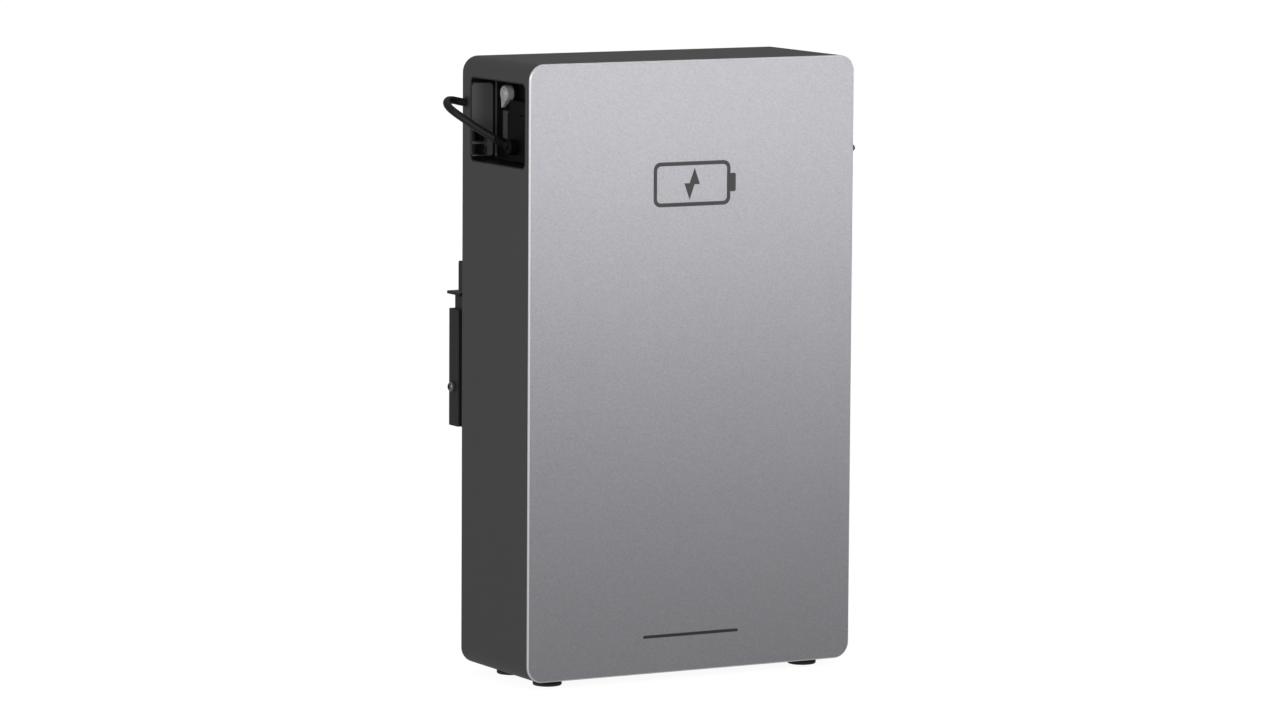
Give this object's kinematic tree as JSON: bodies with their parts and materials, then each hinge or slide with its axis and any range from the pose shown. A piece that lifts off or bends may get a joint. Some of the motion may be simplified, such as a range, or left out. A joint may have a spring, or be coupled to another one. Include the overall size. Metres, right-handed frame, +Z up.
{
  "type": "wall battery unit",
  "caption": "Slim upright wall battery with a silver front panel, a connection bay in each side, link leads, rubber feet and a hook-on wall bracket.",
  "frame": {"origin": "on the floor plane under the middle of the unit's box, wall bracket included", "axes": "+Z up, -Y out of the front panel, +Y towards the wall, +X to the right seen from the front"},
  "size_m": [0.4525, 0.19, 0.64],
  "materials": {
    "powder_coat": "matte",
    "silver_panel": "satin",
    "black_plastic": "matte",
    "grey_plastic": "matte",
    "rubber": "matte",
    "black_steel": "matte",
    "zinc": "satin",
    "bright_metal": "satin",
    "cell_skin": "satin",
    "copper": "satin",
    "circuit_board": "satin",
    "lens": "gloss"
  },
  "bodies": {
    "case": {"rear_case": "powder_coat", "front_panel": "silver_panel", "panel_gasket": "rubber", "foot_front_left": "rubber", "foot_front_right": "rubber", "foot_rear_left": "rubber", "foot_rear_right": "rubber", "foot_screw_front_left": "zinc", "foot_screw_front_right": "zinc", "foot_screw_rear_left": "zinc", "foot_screw_rear_right": "zinc", "vent_valve": "black_plastic", "left_bay_tray": "grey_plastic", "right_bay_tray": "grey_plastic", "isolator_body": "black_plastic", "terminal_cover": "grey_plastic", "data_socket_upper": "black_plastic", "data_socket_lower": "black_plastic", "button_bezel": "bright_metal", "status_lens": "lens", "earth_stud": "zinc", "link_socket": "black_plastic", "left_lead": "rubber", "left_lead_plug": "black_plastic", "left_grommet": "rubber", "right_lead": "rubber", "right_lead_plug": "black_plastic", "right_grommet": "rubber", "wall_bracket": "black_steel", "rear_hanger": "black_steel", "lock_bolt_left": "zinc", "lock_bolt_right": "zinc", "cell_left_1": "cell_skin", "cell_left_2": "cell_skin", "cell_left_3": "cell_skin", "cell_left_4": "cell_skin", "cell_left_5": "cell_skin", "cell_left_6": "cell_skin", "cell_left_7": "cell_skin", "cell_left_8": "cell_skin", "cell_right_1": "cell_skin", "cell_right_2": "cell_skin", "cell_right_3": "cell_skin", "cell_right_4": "cell_skin", "cell_right_5": "cell_skin", "cell_right_6": "cell_skin", "cell_right_7": "cell_skin", "cell_right_8": "cell_skin", "contact_board_left": "copper", "contact_board_right": "copper", "pack_plate_bottom": "zinc", "pack_plate_top": "zinc", "management_plate": "zinc", "management_board": "circuit_board", "contactor": "black_plastic", "main_fuse": "grey_plastic"},
    "isolator_switch": {"isolator_knob": "bright_metal", "isolator_shaft": "zinc"},
    "start_push": {"start_button": "black_plastic"}
  },
  "joints": [
    {"name": "isolator_turn", "type": "hinge", "parent": "case", "child": "isolator_switch", "pos_m": [-0.169, -0.0034, 0.6043], "axis": [1, 0, 0], "range_deg": [0, 90]},
    {"name": "start_press", "type": "slide", "parent": "case", "child": "start_push", "axis": [-1, 0, 0], "range_m": [0, 0.0025], "stiffness_N_per_m": 400}
  ]
}
